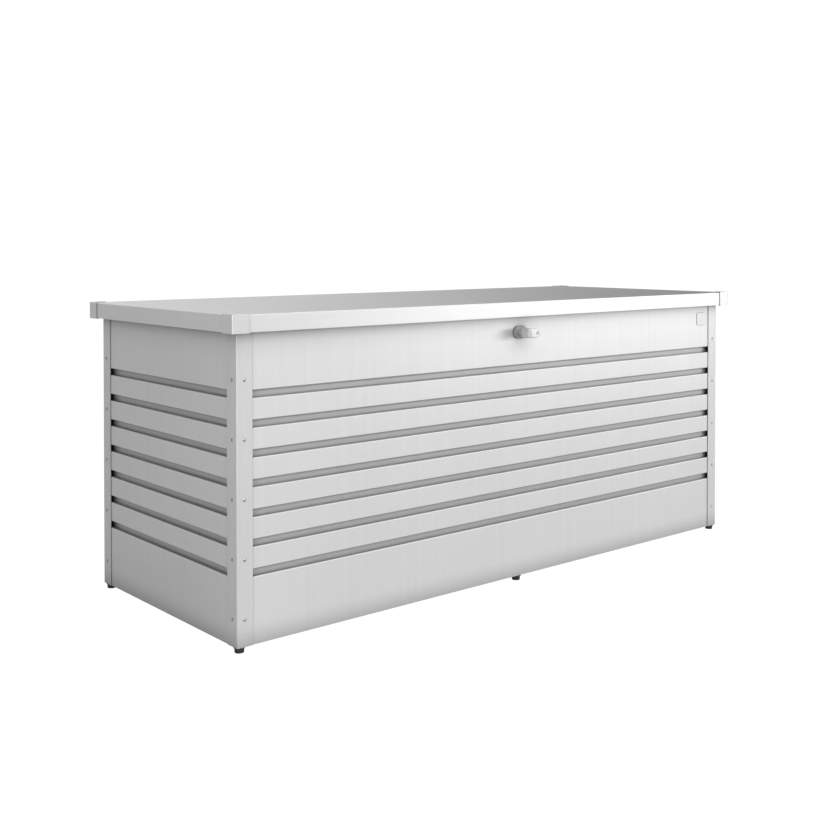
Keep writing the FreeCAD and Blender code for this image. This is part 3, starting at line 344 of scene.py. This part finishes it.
def finish_piece(name, work, body, slot):
    """Turns a bmesh into a named piece with clean shading that rides on a CAD body."""
    bmesh.ops.remove_doubles(work, verts=work.verts, dist=WELD_UNDER)
    bmesh.ops.recalc_face_normals(work, faces=work.faces)
    mesh = bpy.data.meshes.new(name)
    work.to_mesh(mesh)
    work.free()
    mesh.shade_smooth()
    mesh.set_sharp_from_angle(angle=SMOOTH_UNDER)
    mesh.materials.append(materials[slot])
    piece = bpy.data.objects.new(name, mesh)
    bpy.context.scene.collection.objects.link(piece)
    weighted = piece.modifiers.new("flat_faces", "WEIGHTED_NORMAL")
    weighted.keep_sharp = True
    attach(piece, body)
    return piece


def skin(work, rings, closed_path=False):
    """Quads between neighbouring closed rings of points. Returns the rings as mesh vertices."""
    made = [[work.verts.new(point) for point in ring] for ring in rings]
    pairs = list(zip(made, made[1:]))
    if closed_path:
        pairs.append((made[-1], made[0]))
    count = len(made[0])
    for first, second in pairs:
        for index in range(count):
            after = (index + 1) % count
            work.faces.new((first[index], first[after], second[after], second[index]))
    return made


def arc(centre, radius, start, end, steps=ROUND_STEPS):
    """Points of an arc in the outline's plane. The angles are in degrees."""
    points = []
    for step in range(steps + 1):
        angle = math.radians(start + (end - start) * step / steps)
        points.append((centre[0] + radius * math.cos(angle), centre[1] + radius * math.sin(angle)))
    return points


def left_of(start, end):
    """The unit vector that points to the left of a flat line from start to end."""
    along = (Vector(end) - Vector(start)).normalized()
    return Vector((-along.y, along.x))


def corner_arc(before, corner, after, radius):
    """The arc that rounds one corner of a flat line, as (point, left-hand normal) pairs."""
    spot = Vector(corner)
    into = (spot - Vector(before)).normalized()
    out = (Vector(after) - spot).normalized()
    turn = into.angle_signed(out)
    side = -math.copysign(1.0, turn)
    inner = left_of(before, corner) * side
    centre = spot - into * radius * math.tan(abs(turn) / 2) + inner * radius
    pairs = []
    for step in range(ROUND_STEPS + 1):
        arm = Matrix.Rotation(-turn * step / ROUND_STEPS, 2) @ (-inner)
        pairs.append((centre + arm * radius, arm * -side))
    return pairs


def rounded_path(corners, radius):
    """A flat open line with an arc at each inner corner, as (point, left-hand normal) pairs."""
    pairs = [(Vector(corners[0]), left_of(corners[0], corners[1]))]
    for before, corner, after in zip(corners, corners[1:], corners[2:]):
        pairs += corner_arc(before, corner, after, radius)
    pairs.append((Vector(corners[-1]), left_of(corners[-2], corners[-1])))
    return pairs


def rounded_loop(corners, radius):
    """The points of a closed polygon with an arc at each corner."""
    points = []
    for index, corner in enumerate(corners):
        after = corners[(index + 1) % len(corners)]
        pairs = corner_arc(corners[index - 1], corner, after, radius)
        points += [point for point, _ in pairs]
    return points


def turned(name, outline, origin, axis, body, slot):
    """A turned piece. The outline is (radius, height) pairs, the heights along the axis."""
    work = bmesh.new()
    upright = Vector(axis).normalized().to_track_quat("Z", "Y").to_matrix()
    rings = []
    for step in range(TURN_STEPS):
        angle = 2 * math.pi * step / TURN_STEPS
        ring = []
        for radius, height in outline:
            local = Vector((radius * math.cos(angle), radius * math.sin(angle), height))
            ring.append(Vector(origin) + upright @ local)
        rings.append(ring)
    skin(work, rings, closed_path=True)
    return finish_piece(name, work, body, slot)


# ---------------------------------------------------------------- folded walls

SHEET = 1.0 * MM
GROOVE_COUNT = 7
GROOVE_PITCH = 73.2 * MM
# Height of the middle of the lowest groove.
GROOVE_LOW = 192.0 * MM
GROOVE_WIDTH = 19.0 * MM
GROOVE_DEPTH = 12.0 * MM
FOLD_RADIUS = 1.9 * MM

# Each wall: node, axis that it runs along, side of the box that it faces.
WALLS = [
    ("front_wall", "x", -1),
    ("rear_wall", "x", 1),
    ("left_wall", "y", -1),
    ("right_wall", "y", 1),
]


def wall_outline(low_z, high_z):
    """The middle line of a wall's cross-section, as ((depth, height), normal) pairs."""
    face = SHEET / 2
    back = GROOVE_DEPTH + SHEET / 2
    half = (GROOVE_WIDTH + SHEET) / 2
    corners = [(face, low_z)]
    for index in range(GROOVE_COUNT):
        middle = GROOVE_LOW + index * GROOVE_PITCH
        corners += [(face, middle - half), (back, middle - half)]
        corners += [(back, middle + half), (face, middle + half)]
    corners.append((face, high_z))
    return rounded_path(corners, FOLD_RADIUS)


def folded_wall(node, run, side):
    """One sheet with pressed grooves and real fold radii, in place of the sharp CAD wall."""
    low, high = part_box(node)
    middle_line = wall_outline(low.z, high.z)
    ring = [point + normal * SHEET / 2 for point, normal in middle_line]
    ring += [point - normal * SHEET / 2 for point, normal in reversed(middle_line)]
    if run == "x":
        outer = low.y if side < 0 else high.y
        stations = (low.x, high.x)
    else:
        outer = low.x if side < 0 else high.x
        stations = (low.y, high.y)
    work = bmesh.new()
    rings = []
    for station in stations:
        placed = []
        for depth, height in ring:
            across = outer - side * depth
            placed.append((station, across, height) if run == "x" else (across, station, height))
        rings.append(placed)
    made = skin(work, rings)
    for ends in made:
        for index in range(len(middle_line) - 1):
            work.faces.new((ends[index], ends[index + 1], ends[-index - 2], ends[-index - 1]))
    piece = finish_piece(node + "_sheet", work, "chest", "silver_coat")
    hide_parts(node)


# ---------------------------------------------------------------- floor sheets with pressed beads

BEAD_COUNT = 3
BEAD_WIDTH = 46.0 * MM
BEAD_RISE = 5.0 * MM
BEAD_SLOPE = 9.0 * MM
BEAD_STEPS = 6
# From the sheet's edge to where a bead starts to rise.
BEAD_INSET = 64.5 * MM


def stations_between(low, high, edges):
    """Grid lines from low to high, with close ones across each bead slope."""
    lines = [low, high]
    for edge in edges:
        for step in range(BEAD_STEPS + 1):
            lines.append(edge + BEAD_SLOPE * (step / BEAD_STEPS - 0.5))
    return sorted(lines)


def slope(distance):
    """0 outside a bead, 1 inside it, smooth across the slope."""
    share = min(1.0, max(0.0, distance / BEAD_SLOPE + 0.5))
    return share * share * (3 - 2 * share)


def floor_sheet(node):
    """A floor panel with shallow beads that run from front to rear."""
    low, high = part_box(node)
    bay = (high.x - low.x) / BEAD_COUNT
    centres = [low.x + bay * (index + 0.5) for index in range(BEAD_COUNT)]
    start = low.y + BEAD_INSET + BEAD_SLOPE / 2
    end = high.y - BEAD_INSET - BEAD_SLOPE / 2
    half = (BEAD_WIDTH - BEAD_SLOPE) / 2
    edges = [centre + side * half for centre in centres for side in (-1, 1)]
    columns = stations_between(low.x, high.x, edges)
    rows = stations_between(low.y, high.y, (start, end))
    work = bmesh.new()
    layers = []
    for base in (low.z + SHEET, low.z):
        grid = []
        for y in rows:
            along = min(slope(y - start), slope(end - y))
            line = []
            for x in columns:
                near = min(abs(x - centre) for centre in centres)
                line.append(work.verts.new((x, y, base + BEAD_RISE * along * slope(half - near))))
            grid.append(line)
        for first, second in zip(grid, grid[1:]):
            for index in range(len(columns) - 1):
                work.faces.new((first[index], first[index + 1], second[index + 1], second[index]))
        layers.append(grid)
    top, bottom = layers
    for index in range(len(columns) - 1):
        for row in (0, -1):
            work.faces.new((top[row][index], top[row][index + 1],
                            bottom[row][index + 1], bottom[row][index]))
    for index in range(len(rows) - 1):
        for column in (0, -1):
            work.faces.new((top[index][column], top[index + 1][column],
                            bottom[index + 1][column], bottom[index][column]))
    piece = finish_piece(node + "_sheet", work, "chest", "galvanised_sheet")
    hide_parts(node)


# ---------------------------------------------------------------- rubber seal

SEAL_WIDTH = 9.0 * MM
SEAL_FOOT = 2.2 * MM
SEAL_FOOT_EDGE = 1.54 * MM
SEAL_FOOT_SLOPE = 1.62 * MM
SEAL_BEND = 14.0 * MM
# The bulb's radius, as a share of the height that the foot leaves.
BULB_SHARE = 0.58
BULB_START = -35
BULB_END = 215
BULB_STEPS = 14


def mouth_seal():
    """A rubber bulb on a flat foot, swept round the mouth with rounded corners."""
    low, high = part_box("rim_seal")
    room = high.z - low.z - SEAL_FOOT
    bulb_middle = (SEAL_WIDTH / 2, SEAL_FOOT + room * (1 - BULB_SHARE))
    outline = [(0, 0), (SEAL_WIDTH, 0), (SEAL_WIDTH, SEAL_FOOT_EDGE)]
    outline += [(SEAL_WIDTH - SEAL_FOOT_SLOPE, SEAL_FOOT)]
    outline += arc(bulb_middle, room * BULB_SHARE, BULB_START, BULB_END, BULB_STEPS)
    outline += [(SEAL_FOOT_SLOPE, SEAL_FOOT), (0, SEAL_FOOT_EDGE)]
    left = low.x + SEAL_BEND
    right = high.x - SEAL_BEND
    front = low.y + SEAL_BEND
    rear = high.y - SEAL_BEND
    rings = []
    for x, y, start in ((left, front, 180), (right, front, 270), (right, rear, 0), (left, rear, 90)):
        for outward_x, outward_y in arc((0, 0), 1.0, start, start + 90):
            ring = []
            for across, up in outline:
                reach = SEAL_BEND - across
                ring.append((x + outward_x * reach, y + outward_y * reach, low.z + up))
            rings.append(ring)
    work = bmesh.new()
    skin(work, rings, closed_path=True)
    piece = finish_piece("mouth_seal", work, "chest", "seal_rubber")
    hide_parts("rim_seal")


# ---------------------------------------------------------------- feet

GLIDE_RADIUS = 12.0 * MM
GLIDE_BORE = 3.2 * MM
GLIDE_BORE_EDGE = (0.7 * MM, 0.6 * MM)
GLIDE_EDGE = 1.4 * MM
GLIDE_RIM_EDGE = 0.98 * MM
# Height where the flare to the top starts.
GLIDE_WAIST = 8.2 * MM
# The grip groove: height above the ground, depth.
GLIDE_GROOVE = ((3.6 * MM, 0.0), (4.0 * MM, 0.7 * MM), (4.8 * MM, 0.7 * MM), (5.2 * MM, 0.0))


def foot_glide(node):
    """A turned plastic glide with a soft lower edge, a grip groove and a flared top."""
    low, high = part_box(node)
    middle = (low + high) / 2
    tall = high.z - low.z
    flange = (high.x - low.x) / 2
    bore_edge_width, bore_edge_height = GLIDE_BORE_EDGE
    outline = [(GLIDE_BORE, bore_edge_height), (GLIDE_BORE + bore_edge_width, 0.0)]
    outline += arc((GLIDE_RADIUS - GLIDE_EDGE, GLIDE_EDGE), GLIDE_EDGE, -90, 0)
    outline += [(GLIDE_RADIUS - depth, height) for height, depth in GLIDE_GROOVE]
    outline += [(GLIDE_RADIUS, GLIDE_WAIST)]
    outline += arc((flange - GLIDE_RIM_EDGE, tall - 2 * GLIDE_RIM_EDGE), GLIDE_RIM_EDGE, -45, 90)
    outline += [(GLIDE_BORE, tall)]
    piece = turned(node + "_glide", outline, (middle.x, middle.y, low.z), (0, 0, 1),
                   "chest", "black_plastic")
    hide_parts(node)


# ---------------------------------------------------------------- gas strut details

TUBE_RADIUS = 9.0 * MM
# From the sleeve's mouth to the lower pivot, with the lid shut.
MOUTH_TO_PIVOT = 19.5 * MM
RING_BORE = 4.5 * MM
RING_FACE = 7.2 * MM
RING_EDGE = 1.2 * MM
RING_SKIRT = 0.2 * MM
RING_FLOOR = 1.5 * MM
RING_TOP = 7.0 * MM
# The rolled ring: height above the mouth, rise over the tube.
ROLLED_RING = ((5.0 * MM, 0.0), (5.4 * MM, 0.35 * MM), (6.6 * MM, 0.35 * MM), (RING_TOP, 0.0))
CLIP_RADIUS = 8.0 * MM
CLIP_WIRE = 0.55 * MM
CLIP_STEPS = 10


def joint_place(name):
    """Where a joint of the record lies at rest."""
    for joint in frame["joints"]:
        if joint["name"] == name:
            return Vector(joint["pos_m"])
    raise ValueError("no joint " + name)


def strut_trim(side):
    """A guide ring at the sleeve's mouth, a rolled ring above it, and clips on both eyes."""
    upper = joint_place("strut_%s_upper_pivot" % side)
    lower = joint_place("strut_%s_lower_pivot" % side)
    down = (lower - upper).normalized()
    mouth = (lower - upper).length - MOUTH_TO_PIVOT
    sleeve = "strut_cylinder_" + side
    rod = "strut_rod_" + side
    ring = [(RING_BORE, 0), (RING_FACE, 0)]
    ring += arc((TUBE_RADIUS - RING_EDGE, RING_EDGE), RING_EDGE, -90, 0)
    ring += [(TUBE_RADIUS + rise, height) for height, rise in ROLLED_RING]
    ring += [(TUBE_RADIUS - RING_SKIRT, RING_TOP), (RING_BORE, RING_FLOOR)]
    turned("strut_guide_ring_" + side, ring, upper + down * mouth, -down, sleeve, "black_plastic")
    clip = arc((CLIP_RADIUS, 0), CLIP_WIRE, 0, 360, CLIP_STEPS)[:-1]
    for name, spot, body in (("upper", upper, sleeve), ("lower", lower, rod)):
        turned("strut_clip_%s_%s" % (name, side), clip, spot, (1, 0, 0), body, "zinc_steel")


# ---------------------------------------------------------------- handle

KNOB_SHOULDER = 4.2 * MM
KNOB_TIP = 13.0 * MM
# How much of the soft edge's inset the knob's narrow tip takes.
KNOB_TIP_SHARE = 0.8
KNOB_CORNER = 4.5 * MM
KNOB_BACK_EDGE = 0.5 * MM
KNOB_FRONT_ROUND = 3.0 * MM
KNOB_LEFT_ROUND = 11.0 * MM
# The knob's layers, as degrees along its rounded left side. They lie closer near the face.
KNOB_LAYERS = (0, 15, 30, 45, 60, 70, 78, 84, 90)
LOCK_OFFSET = 14.0 * MM
LOCK_BORE = 6.25 * MM
LOCK_BORE_DEPTH = 8.0 * MM
LOCK_BORE_EDGE = 0.3 * MM
BEZEL_BORE = LOCK_BORE + LOCK_BORE_EDGE
BEZEL_RADIUS = 7.5 * MM
# The bezel's ring: radius, height above the knob's face.
BEZEL_OUTLINE = [
    (BEZEL_BORE, -0.1 * MM),
    (BEZEL_RADIUS, -0.1 * MM),
    (BEZEL_RADIUS, 0.15 * MM),
    (BEZEL_RADIUS - 0.3 * MM, 0.4 * MM),
    (BEZEL_BORE + 0.2 * MM, 0.4 * MM),
    (BEZEL_BORE, 0.25 * MM),
]


def knob_form():
    """The knob, broadly rounded on the left where the hand turns it, with the lock's bore."""
    low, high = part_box("handle_knob")
    front = low.y
    middle = (low.z + high.z) / 2
    half = (high.z - low.z) / 2

    def layer(y, shift, inset):
        left = low.x + shift + inset
        right = high.x - inset
        top = half - inset
        tip = KNOB_TIP / 2 - inset * KNOB_TIP_SHARE
        corners = [(left, -top), (KNOB_SHOULDER, -top), (right, -tip),
                   (right, tip), (KNOB_SHOULDER, top), (left, top)]
        return [(point.x, y, middle + point.y) for point in rounded_loop(corners, KNOB_CORNER)]

    rings = [layer(high.y, 0, KNOB_BACK_EDGE), layer(high.y - KNOB_BACK_EDGE, 0, 0)]
    for degrees in KNOB_LAYERS:
        angle = math.radians(degrees)
        depth = KNOB_LEFT_ROUND * (1 - math.sin(angle))
        shift = KNOB_LEFT_ROUND * (1 - math.cos(angle))
        rest = max(0.0, 1 - depth / KNOB_FRONT_ROUND)
        inset = KNOB_FRONT_ROUND * (1 - math.sqrt(1 - rest * rest))
        rings.append(layer(front + depth, shift, inset))
    face_ring = rings[-1]
    for radius, depth in ((BEZEL_BORE, 0.0), (LOCK_BORE, LOCK_BORE_EDGE), (LOCK_BORE, LOCK_BORE_DEPTH)):
        bore = []
        for x, _, z in face_ring:
            outward = Vector((x - LOCK_OFFSET, z - middle)).normalized() * radius
            bore.append((LOCK_OFFSET + outward.x, front + depth, middle + outward.y))
        rings.append(bore)
    work = bmesh.new()
    made = skin(work, rings)
    work.faces.new(made[0])
    work.faces.new(made[-1])
    piece = finish_piece("knob_form", work, "handle", "handle_metal")
    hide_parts("handle_knob")
    turned("lock_bezel", BEZEL_OUTLINE, (LOCK_OFFSET, front, middle), (0, -1, 0),
           "handle", "lock_metal")


# ---------------------------------------------------------------- stage, light and camera

WHITE = (1, 1, 1, 1)
# Brightness of the floor and the room as the camera sees them.
SEEN_BRIGHTNESS = 1.05
FLOOR_HALF = 30.0
FLOOR_GREY = (0.45, 0.45, 0.45, 1)
FLOOR_ROUGHNESS = 0.9

# Area lights: name, place, target, width, height, watts.
LAMPS = [
    ("key", (5.2, -5.0, 1.2), (0.2, -0.3, 0.6), 3.6, 1.0, 80),
    ("right_fill", (5.0, -3.6, 1.6), (0.8, -0.35, 0.7), 1.2, 0.5, 26),
    ("knob_fill", (-2.4, -2.9, 1.25), (0.0, -0.40, 0.74), 0.5, 0.5, 9),
    ("edge_strip", (-2.60, -1.34, 0.72), (-0.97, -0.35, 0.60), 0.16, 1.4, 8),
]

# Soft patches of the studio walls: direction, cosines where it starts and is full, brightness.
# Those of negative brightness are dark screens to the right. Where the two screens overlap, the
# sum can fall a little below zero.
GLOWS = [
    ((0.0, -0.75, 0.65), 0.50, 1.00, 1.70),
    ((0.09, 1.0, 0.10), 0.57, 0.94, 0.52),
    ((0.985, 0.17, 0.10), 0.64, 0.94, -0.26),
    ((0.86, 0.50, 0.08), 0.75, 0.98, -0.24),
    ((0.70, -0.10, 0.70), 0.90, 0.99, 1.6),
]
STUDIO_BASE = 0.34

CAMERA_PLACE = (-2.450, -2.770, 1.001)
CAMERA_TURN = math.radians(40.184)
CAMERA_DIP = math.radians(0.953)
CAMERA_LENS = 50.40
CAMERA_SENSOR = 36.0
CAMERA_SHIFT = -0.1842


def camera_choice(tree, other, seen, output):
    """Joins two shaders: one that the camera sees directly, and one that lights everything else."""
    path = tree.nodes.new("ShaderNodeLightPath")
    choice = tree.nodes.new("ShaderNodeMixShader")
    tree.links.new(path.outputs["Is Camera Ray"], choice.inputs["Fac"])
    tree.links.new(other, choice.inputs[1])
    tree.links.new(seen, choice.inputs[2])
    tree.links.new(choice.outputs["Shader"], output.inputs["Surface"])


def stage_floor():
    """A plain pale floor: white to the camera, a soft grey bounce to the box."""
    half = FLOOR_HALF
    mesh = bpy.data.meshes.new("floor")
    corners = [(-half, -half, 0), (half, -half, 0), (half, half, 0), (-half, half, 0)]
    mesh.from_pydata(corners, [], [(0, 1, 2, 3)])
    floor = bpy.data.objects.new("floor", mesh)
    bpy.context.scene.collection.objects.link(floor)
    material = bpy.data.materials.new("floor_white")
    material.use_nodes = True
    tree = material.node_tree
    shader = tree.nodes["Principled BSDF"]
    shader.inputs["Base Color"].default_value = FLOOR_GREY
    shader.inputs["Roughness"].default_value = FLOOR_ROUGHNESS
    glow = tree.nodes.new("ShaderNodeEmission")
    glow.inputs["Strength"].default_value = SEEN_BRIGHTNESS
    camera_choice(tree, shader.outputs["BSDF"], glow.outputs["Emission"], tree.nodes["Material Output"])
    mesh.materials.append(material)


def studio_light(name, spot, target, wide, tall, power):
    """A soft rectangular lamp that the camera doesn't see."""
    lamp = bpy.data.lights.new(name, "AREA")
    lamp.shape = "RECTANGLE"
    lamp.size = wide
    lamp.size_y = tall
    lamp.energy = power
    light = bpy.data.objects.new(name, lamp)
    light.location = spot
    light.visible_camera = False
    light.rotation_euler = (Vector(target) - Vector(spot)).to_track_quat("-Z", "Y").to_euler()
    bpy.context.scene.collection.objects.link(light)


def studio_world():
    """A white room to the camera, and soft patches round the box to everything else."""
    world = bpy.data.worlds.new("studio")
    world.use_nodes = True
    bpy.context.scene.world = world
    tree = world.node_tree
    spot = tree.nodes.new("ShaderNodeTexCoord")
    total = None
    for direction, start, full, strength in GLOWS:
        facing = tree.nodes.new("ShaderNodeVectorMath")
        facing.operation = "DOT_PRODUCT"
        facing.inputs[1].default_value = Vector(direction).normalized()
        tree.links.new(spot.outputs["Generated"], facing.inputs[0])
        glow = tree.nodes.new("ShaderNodeMapRange")
        glow.interpolation_type = "SMOOTHSTEP"
        glow.inputs["From Min"].default_value = start
        glow.inputs["From Max"].default_value = full
        glow.inputs["To Max"].default_value = strength
        tree.links.new(facing.outputs["Value"], glow.inputs["Value"])
        total = glow.outputs["Result"] if total is None else join(tree, total, glow.outputs["Result"])
    lifted = tree.nodes.new("ShaderNodeMath")
    lifted.inputs[1].default_value = STUDIO_BASE
    tree.links.new(total, lifted.inputs[0])
    room = tree.nodes["Background"]
    tree.links.new(lifted.outputs["Value"], room.inputs["Strength"])
    white = tree.nodes.new("ShaderNodeBackground")
    white.inputs["Strength"].default_value = SEEN_BRIGHTNESS
    for background in (room, white):
        background.inputs["Color"].default_value = WHITE
    camera_choice(tree, room.outputs["Background"], white.outputs["Background"],
                  tree.nodes["World Output"])


def camera():
    """Stands off the front left corner, a little above the lid, with the box low in its field."""
    data = bpy.data.cameras.new("camera")
    data.sensor_width = CAMERA_SENSOR
    data.lens = CAMERA_LENS
    data.shift_y = CAMERA_SHIFT
    view = bpy.data.objects.new("camera", data)
    view.location = CAMERA_PLACE
    view.rotation_euler = (math.pi / 2 - CAMERA_DIP, 0, -CAMERA_TURN)
    bpy.context.scene.collection.objects.link(view)
    bpy.context.scene.camera = view


dress_nodes()
for wall in WALLS:
    folded_wall(*wall)
for side in ("left", "right"):
    floor_sheet("floor_panel_" + side)
    strut_trim(side)
    for end in ("front", "rear"):
        foot_glide("foot_%s_%s" % (end, side))
for end in ("front", "rear"):
    foot_glide("foot_%s_middle" % end)
mouth_seal()
knob_form()
stage_floor()
studio_world()
for lamp in LAMPS:
    studio_light(*lamp)
camera()
bpy.context.scene.view_settings.view_transform = "Standard"
